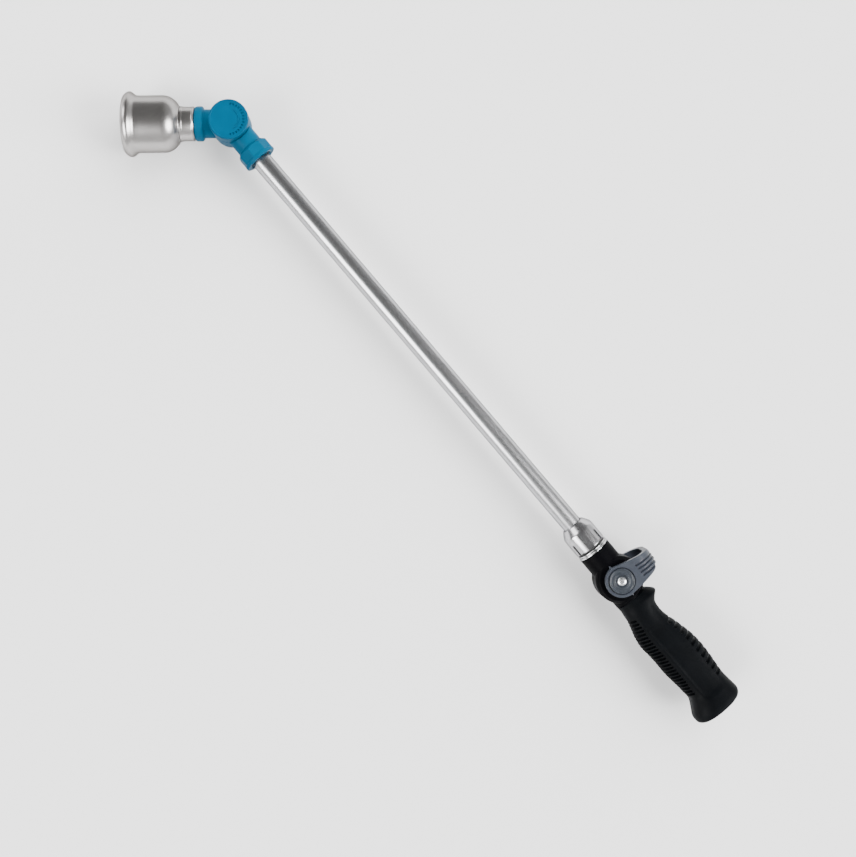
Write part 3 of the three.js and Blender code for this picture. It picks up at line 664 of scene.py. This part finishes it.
def valve_body():
    """The black neck that swells into the round valve boss, and the shoulder behind it."""
    neck_start = span("trim_ring", AT_VALVE)[1] + 0.3
    seat_start = span("valve_body", AT_VALVE)[0]
    valve = revolve("valve_neck", rounded([
        (seat_start, 0), (seat_start, 11.2, 0.4), (neck_start, 11.2),
        (neck_start, VALVE_NECK_R, 0.5), (-16, VALVE_NECK_R, 2), (-8, REAR_R), (-8, 0),
    ], 4), 128)
    boss = revolve("valve_boss", rounded([
        (-BOSS_TOP, 0), (-BOSS_TOP, 18.0, 0.5), (-13.4, 18.3, 0.4), (-10.6, BOSS_R, 2.6),
        (10.6, BOSS_R, 2.6), (13.4, 18.3, 0.4), (BOSS_TOP, 18.0, 0.5), (BOSS_TOP, 0),
    ], 6), 160, "Z")
    fuse(valve, boss, rod("valve_rear", 2, 19.5, REAR_R, centre=(-3.2, 0)))
    carve(valve, rod("plug_bore", -20, 20, PLUG_BORE_R, axis="Z"))
    carve(valve, rod("tube_bore", seat_start - 1, -32.7, TUBE_SOCKET_R))
    soften(valve, 0.34, 7)
    finish(valve, AT_VALVE, "wand_body", BLACK, ["valve_body"], 60)


# ---- Thumb lever, in the valve's frame -------------------------------------------------------
HUB_R, LEVER_TOP, ARM_IN, ARM_OUT = 14.2, 35.5, 15.0, 19.0
GROOVES_AT = (-2.2, 1.2, 4.7, 8.1)
GROOVE_HALF, GROOVE_FOOT, GROOVE_DEPTH, GROOVE_PIVOT = 0.8, 17.2, 1.6, 19.5
HUB_RECESS_AT, HUB_RECESS_R = 17.9, 11.6
PLUG_SQUARE = 8.2


def lever_side():
    """The lever's side outline: a round hub that rises to the thumb pad."""
    def curve(points, steps=8):
        return bent(*(Vector(point) for point in points), steps)

    outline = curve([(-HUB_R, 0), (-12.2, 7), (-9.4, 16)])
    outline += curve([(-5.2, LEVER_TOP - 1.4), (-4.8, LEVER_TOP), (-3.4, LEVER_TOP)], 4)
    outline += curve([(2.4, LEVER_TOP), (9.3, LEVER_TOP - 1.0), (11.3, LEVER_TOP - 8)])
    outline += curve([(11.3, LEVER_TOP - 8), (13.0, 19), (13.8, 9)])[1:]
    hub = [(HUB_R * math.cos(a), HUB_R * math.sin(a)) for a in sweep(0, -180, 32)[:-1]]
    return [tuple(point) for point in outline] + hub


def arch(half, height, corner, foot):
    """An arch's end outline in (y, z), for pushing along X."""
    right = [(height - corner + corner * math.sin(a), half - corner + corner * math.cos(a))
             for a in sweep(0, 90, 14)]
    left = [(y, -z) for y, z in reversed(right)]
    return [(foot, half)] + right + left + [(foot, -half)]


def thumb_groove(x):
    """A groove's cutter, which runs over the arch and leans a little with its place."""
    groove = prism("groove", arch(ARM_OUT + 2, LEVER_TOP + 2, 15, GROOVE_FOOT),
                   x - GROOVE_HALF, x + GROOVE_HALF, "X")
    carve(groove, prism("core", arch(ARM_OUT - GROOVE_DEPTH, LEVER_TOP - GROOVE_DEPTH, 13, 10),
                        x - 2, x + 2, "X"))
    lean = Matrix.Rotation(math.radians(x * 0.35 - 6), 4, "Z")
    groove.data.transform(Matrix.Translation((x, GROOVE_PIVOT, 0)) @ lean
                          @ Matrix.Translation((-x, -GROOVE_PIVOT, 0)))
    return groove


def hub_pointer(angle, side):
    """A small pointer on a hub's rim."""
    pointer = prism("pointer", [(HUB_R - 1, -1.5), (HUB_R + 2.3, 0), (HUB_R - 1, 1.5)], 15.1, 16.7)
    pointer.data.transform(Matrix.Rotation(math.radians(angle), 4, "Z"))
    if side < 0:
        mirror(pointer)
    return pointer


def thumb_lever():
    """The arched lever: two round hubs, two arms, and a ribbed pad that steps over the valve."""
    lever = prism("lever", lever_side(), -ARM_OUT, ARM_OUT)
    trim(lever, prism("outer", arch(ARM_OUT, LEVER_TOP, 14, -20), -30, 30, "X"))
    carve(lever, prism("inner", arch(ARM_IN, 31, 10, -30), -40, 40, "X"))
    carve(lever, *(thumb_groove(x) for x in GROOVES_AT))
    for side in (1, -1):
        ends = sorted((HUB_RECESS_AT * side, 25 * side))
        carve(lever, rod("recess", *ends, HUB_RECESS_R, axis="Z"))
    carve(lever, block("square", (PLUG_SQUARE, PLUG_SQUARE, 60)))
    for angle in (0, 180):
        for side in (1, -1):
            fuse(lever, hub_pointer(angle, side))
    soften(lever, 0.25, 3)
    finish(lever, AT_VALVE, "valve_lever", GREY, ["thumb_lever"], 60)


def hub_cap(side, node):
    """A round cap with a stepped rim and a sunk seat for the screw."""
    cap = revolve(node + "_piece", rounded([
        (18.2, 2), (18.2, 10.8, 0.2), (20.0, 10.8, 0.5), (20.2, 10.2, 0.4), (19.3, 9.2, 0.3),
        (19.3, 7.2, 0.3), (20.1, 6.5, 0.3), (20.1, 5.9, 0.3), (18.8, 5.0, 0.3), (18.8, 2),
    ], 4), 128, "Z", loop=True)
    if side < 0:
        mirror(cap)
    finish(cap, AT_VALVE, "valve_lever", CAP_GREY, [node])


SCREW_TOP, SLOT_SIZE, SLOT_TURN = 20.9, (3.9, 0.85, 2.0), 35


def lever_screw(side, node):
    """A pan-head screw with a cross recess."""
    screw = revolve(node + "_piece", rounded([
        (9, 0), (9, 1.5), (19.1, 1.5), (19.1, 3.75, 0.3), (20.0, 3.75, 0.8), (20.75, 2.4, 0.8),
        (SCREW_TOP, 0),
    ]), 64, "Z")
    for angle in (SLOT_TURN, SLOT_TURN + 90):
        turn = Matrix.Rotation(math.radians(angle), 4, "Z")
        carve(screw, block("slot", SLOT_SIZE, Matrix.Translation((0, 0, SCREW_TOP)) @ turn))
    bevel(screw, 0.08, 2, 40)
    if side < 0:
        mirror(screw)
    finish(screw, AT_VALVE, "valve_lever", ZINC, [node])


# ---- Grip and hose end, in the valve's frame -------------------------------------------------
# Drawn sections along the grip: place, top, bottom and half width.
GRIP_SECTIONS = [
    (19.6, 10.8, -17.0, 13.2), (21.0, 12.9, -16.7, 13.4), (24.2, 16.4, -16.6, 13.7),
    (26.8, 18.7, -16.9, 14.0), (28.2, 18.3, -17.1, 14.0), (31.0, 15.1, -17.4, 14.0),
    (34.6, 12.2, -17.9, 14.0), (42.1, 10.9, -20.0, 14.2), (50.8, 11.8, -22.5, 14.8),
    (59.5, 14.3, -23.7, 15.5), (68.1, 16.3, -23.1, 16.1), (76.8, 18.1, -22.7, 16.5),
    (89.8, 18.9, -22.7, 16.8), (102.8, 18.1, -21.5, 16.6), (113.4, 17.0, -20.7, 16.6),
    (120.0, 16.5, -20.6, 16.8), (128.8, 17.2, -25.1, 17.6), (133.6, 17.7, -27.8, 18.3),
    (136.8, 17.8, -28.4, 18.6), (139.2, 17.0, -28.0, 18.4), (140.8, 15.3, -26.4, 17.8),
    (141.4, 13.4, -24.4, 17.0),
]
GRIP_AROUND = 200
GRIP_STEP = 0.32
GRIP_LIP, LIP_STEPS = 3, 24  # the rounded end, which is lofted in finer steps
SQUARENESS = 2.5  # 2 would make the sections ellipses
FINGER_GROOVES = (35.8, 3.3, 25, 2.1)  # first groove, pitch, count, width
BACK_GROOVES = (54.4, 6.6, 10, 3.4)
FINGER_SLANT, BACK_SLANT, GROOVE_INSET, PANEL_INSET = 0.16, 0.15, 2.6, 1.0
HOSE_AXIS = (-4, 0)  # across the grip, in Y and Z
INSERT_R, MOUTH_R = 14.7, 15


def smoothstep(low, high, value):
    t = min(1, max(0, (value - low) / (high - low)))
    return t * t * (3 - 2 * t)


def section_at(x):
    """The grip's section at a place: a smooth curve through the listed ones."""
    last = len(GRIP_SECTIONS) - 1
    i = max(1, min(last, sum(section[0] <= x for section in GRIP_SECTIONS)))
    a, b = GRIP_SECTIONS[i - 1], GRIP_SECTIONS[i]
    before, after = GRIP_SECTIONS[max(0, i - 2)], GRIP_SECTIONS[min(last, i + 1)]
    width = b[0] - a[0]
    t = (x - a[0]) / width
    values = []
    for k in range(1, 4):
        slope_a = (b[k] - before[k]) / (b[0] - before[0]) * width
        slope_b = (after[k] - a[k]) / (after[0] - a[0]) * width
        values.append((2 * t**3 - 3 * t**2 + 1) * a[k] + (t**3 - 2 * t**2 + t) * slope_a
                      + (3 * t**2 - 2 * t**3) * b[k] + (t**3 - t**2) * slope_b)
    return values


def groove_depth(x, first, pitch, count, width):
    """How deep a row of round-bottomed grooves is at a place, from 0 to 1."""
    index = round((x - first) / pitch)
    if not 0 <= index < count:
        return 0
    off = abs(x - first - index * pitch) / (width / 2)
    return math.sqrt(1 - off * off) if off < 1 else 0


def grip_inset(x, y):
    """How far the grip's surface is pressed in: finger grooves, back grooves and side panels."""
    finger_line = -13.6 + 1.5 * smoothstep(52, 44, x) - 1.0 * smoothstep(100, 112, x)
    fingers = smoothstep(finger_line, finger_line - 1.2, y)
    fingers *= groove_depth(x - (y - finger_line) * FINGER_SLANT, *FINGER_GROOVES)
    back_line = 10.4 - 2.4 * smoothstep(70, 55, x)
    back = smoothstep(back_line, back_line + 1.2, y)
    back *= groove_depth(x + (y - 13) * BACK_SLANT, *BACK_GROOVES)
    panel = smoothstep(-10.8, -8.6, y) * smoothstep(12, 4, y)
    panel *= smoothstep(34, 56, x) * smoothstep(127.5, 121.5, x)
    return GROOVE_INSET * (fingers + back) + PANEL_INSET * panel


def grip_ring(bm, x):
    """The grip's skin at a place: a rounded square section, pressed in towards its middle."""
    top, bottom, half = section_at(x)
    centre, reach = (top + bottom) / 2, (top - bottom) / 2
    ring = []
    for i in range(GRIP_AROUND):
        angle = 2 * math.pi * i / GRIP_AROUND
        c, s = math.cos(angle), math.sin(angle)
        fullness = (abs(c) ** SQUARENESS + abs(s) ** SQUARENESS) ** (-1 / SQUARENESS)
        y, z = reach * c * fullness, half * s * fullness
        scale = 1 - grip_inset(x, centre + y) / math.hypot(y, z)
        ring.append(bm.verts.new((x, centre + y * scale, z * scale)))
    return ring


def grip():
    """The rubber grip: a lofted skin with pressed-in grooves, hollow for its core and hose end."""
    first, last = GRIP_SECTIONS[0][0], GRIP_SECTIONS[-1][0]
    end = last - GRIP_LIP
    count = round((end - first) / GRIP_STEP)
    places = [first + (end - first) * step / count for step in range(count)]
    places += [end + GRIP_LIP * step / LIP_STEPS for step in range(LIP_STEPS + 1)]
    bm = bmesh.new()
    rings = [grip_ring(bm, x) for x in places]
    for one, two in zip(rings, rings[1:]):
        bridge(bm, one, two)
    bm.faces.new(rings[0])
    bm.faces.new(rings[-1])
    skin = from_bmesh("grip", bm)
    carve(skin, revolve("boss_clear", [
        (-30, 0), (-30, 18.6), (-13.6, 18.6), (-10.8, 21), (10.8, 21), (13.6, 18.6), (30, 18.6),
        (30, 0),
    ], 160, "Z"))
    carve(skin, revolve("bore", rounded([
        (10, 0), (10, 11.5), (121.9, 11.5), (121.9, 15.8), (137.2, 15.8), (137.2, MOUTH_R, 0.3),
        (140.2, MOUTH_R, 0.8), (143.5, 17.4), (143.5, 0),
    ]), 128, centre=HOSE_AXIS))
    finish(skin, AT_VALVE, "wand_body", RUBBER, ["rubber_grip"], 50)


THREAD_PITCH, THREAD_CREST, THREAD_ROOT = 2.209, 12.75, 13.55
THREAD_AROUND, THREAD_ROWS = 96, 6  # points round the bore, and rows in each pitch


def thread_radius(x, turn, start, end):
    """The bore's radius at a place and a part of a turn: a ridge that fades out at both ends."""
    phase = ((x - start) / THREAD_PITCH - turn) % 1
    ridge = 1 - abs(2 * phase - 1)
    fade = smoothstep(0, 1.2, end - x) * smoothstep(0, 0.8, x - start)
    return THREAD_ROOT - (THREAD_ROOT - THREAD_CREST) * ridge * fade


def inlet_insert():
    """The brass socket with a real thread: a helical ridge on the wall of its bore."""
    start, end = span("inlet_insert", AT_VALVE)
    turns = [i / THREAD_AROUND for i in range(THREAD_AROUND)]
    directions = [(math.cos(2 * math.pi * turn), math.sin(2 * math.pi * turn)) for turn in turns]
    rows = round((end - start) / (THREAD_PITCH / THREAD_ROWS))
    places = [start + (end - start) * row / rows for row in range(rows + 1)]
    sections = [(x, [thread_radius(x, turn, start, end) for turn in turns]) for x in places]
    sections += [(x, [INSERT_R] * THREAD_AROUND) for x in (end, start)]
    bm = bmesh.new()
    rings = []
    for x, radii in sections:
        rings.append([bm.verts.new((x, HOSE_AXIS[0] + radius * c, HOSE_AXIS[1] + radius * s))
                      for (c, s), radius in zip(directions, radii)])
    for one, two in zip(rings, rings[1:] + rings[:1]):
        bridge(bm, one, two)
    piece = from_bmesh("threaded_insert", bm)
    finish(piece, AT_VALVE, "wand_body", BRASS, ["inlet_insert"], 50)


def hose_washer():
    piece = sleeve("inlet_washer", span("hose_washer", AT_VALVE), 7, 12.4, 0.4, 4,
                   centre=HOSE_AXIS)
    finish(piece, AT_VALVE, "wand_body", SEALING, ["hose_washer"], 50)


# ---- Stage -----------------------------------------------------------------------------------
CAMERA_RISE = 1.05  # above the tube's axis
CAMERA_AIM = (0.26141, -0.06324)  # from the head pivot, along X and Y
CAMERA_SHIFT = (0.0672, -0.0327)
VIEW_TURN = 49.573
LENS, SENSOR = 50.93, 36


def add_camera():
    data = bpy.data.cameras.new("camera")
    data.lens = LENS
    data.sensor_width = SENSOR
    data.sensor_fit = "HORIZONTAL"
    data.shift_x, data.shift_y = CAMERA_SHIFT
    camera = new_object("camera", data)
    camera.location = PIVOT + Vector((*CAMERA_AIM, CAMERA_RISE))
    camera.rotation_euler = (0, 0, math.radians(VIEW_TURN))
    bpy.context.scene.camera = camera


FLOOR_SIZE, FLOOR_SHADE, FLOOR_ROUGHNESS, FLOOR_SHINE = 30, 0.62, 0.8, 0.1


def add_floor():
    bm = bmesh.new()
    bmesh.ops.create_grid(bm, x_segments=1, y_segments=1, size=FLOOR_SIZE)
    floor = from_bmesh("floor", bm)
    material, _, shader = new_material("floor", (FLOOR_SHADE,) * 3, FLOOR_ROUGHNESS)
    shader.inputs["Specular IOR Level"].default_value = FLOOR_SHINE
    floor.data.materials.append(material)


ZENITH, HORIZON = 0.2, 0.3
HORIZON_TOP, ZENITH_START = 0.15, 0.75  # heights of a view direction, from 0 to 1
GLOWS = (  # direction, inner and outer angle, strength, narrowing along X
    ((0.68, 0.46, 0.574), 12, 23, 22, 1),
    ((-0.1, -0.76, 0.64), 8, 22, 16, 0.8),
    ((-0.85, -0.3, 0.45), 6, 20, 8, 1),
    ((0, 0.98, 0.17), 10, 45, 0.3, 1),
    ((0.68, -0.58, 0.45), 20, 55, 0.8, 1),
)


def vector_math(tree, operation, source, vector=None):
    node = tree.nodes.new("ShaderNodeVectorMath")
    node.operation = operation
    tree.links.new(source, node.inputs[0])
    if vector is not None:
        node.inputs[1].default_value = vector
    return node.outputs


def glow(tree, view, direction, inner, outer, strength, narrow):
    """A soft patch of light in the surroundings: round, or a strip where narrow is under 1."""
    squeezed = vector_math(tree, "MULTIPLY", view, (narrow, 1, 1))["Vector"]
    unit = vector_math(tree, "NORMALIZE", squeezed)["Vector"]
    towards = Vector((direction[0] * narrow, *direction[1:])).normalized()
    facing = vector_math(tree, "DOT_PRODUCT", unit, towards)["Value"]
    edge = tree.nodes.new("ShaderNodeMapRange")
    edge.interpolation_type = "SMOOTHSTEP"
    edge.inputs["From Min"].default_value = math.cos(math.radians(outer))
    edge.inputs["From Max"].default_value = math.cos(math.radians(inner))
    edge.inputs["To Max"].default_value = strength
    tree.links.new(facing, edge.inputs["Value"])
    return edge.outputs["Result"]


def add_world():
    """Soft studio surroundings: dim overhead, paler round the horizon, with five soft glows."""
    world = bpy.data.worlds.new("studio")
    bpy.context.scene.world = world
    world.use_nodes = True
    tree = world.node_tree
    view = tree.nodes.new("ShaderNodeTexCoord").outputs["Generated"]
    split = tree.nodes.new("ShaderNodeSeparateXYZ")
    tree.links.new(view, split.inputs["Vector"])
    level = ranged(tree, split.outputs["Z"], HORIZON, ZENITH, HORIZON_TOP, ZENITH_START)
    for light in GLOWS:
        total = tree.nodes.new("ShaderNodeMath")
        total.operation = "ADD"
        tree.links.new(level, total.inputs[0])
        tree.links.new(glow(tree, view, *light), total.inputs[1])
        level = total.outputs["Value"]
    background = tree.nodes["Background"]
    background.inputs["Color"].default_value = (1, 1, 1, 1)
    tree.links.new(level, background.inputs["Strength"])


FILL, FILL_FROM, FILL_ANGLE = 9.0, (-0.25, 0.75, 0.6), 70


def add_fill():
    """A large soft lamp on the lever's side, that shades plastic and isn't mirrored in metal."""
    data = bpy.data.lights.new("fill", "SUN")
    data.energy = FILL
    data.angle = math.radians(FILL_ANGLE)
    lamp = new_object("fill", data)
    lamp.rotation_euler = Vector(FILL_FROM).to_track_quat("Z", "Y").to_euler()
    lamp.visible_glossy = False


# ---- Assembly --------------------------------------------------------------------------------
add_camera()
add_floor()
add_world()
add_fill()
dress_cad_nodes()
for build in (spray_bell, spray_face, bell_ferrule, outlet_arm, pivot_cap_near, pivot_cap_far,
              inlet_arm, front_tube_nut, tube, rear_tube_nut, nut_washer, trim_ring, valve_body,
              thumb_lever, grip, inlet_insert, hose_washer):
    build()
for side, end in ((1, "near"), (-1, "far")):
    hub_cap(side, "hub_cap_" + end)
    lever_screw(side, "lever_screw_" + end)
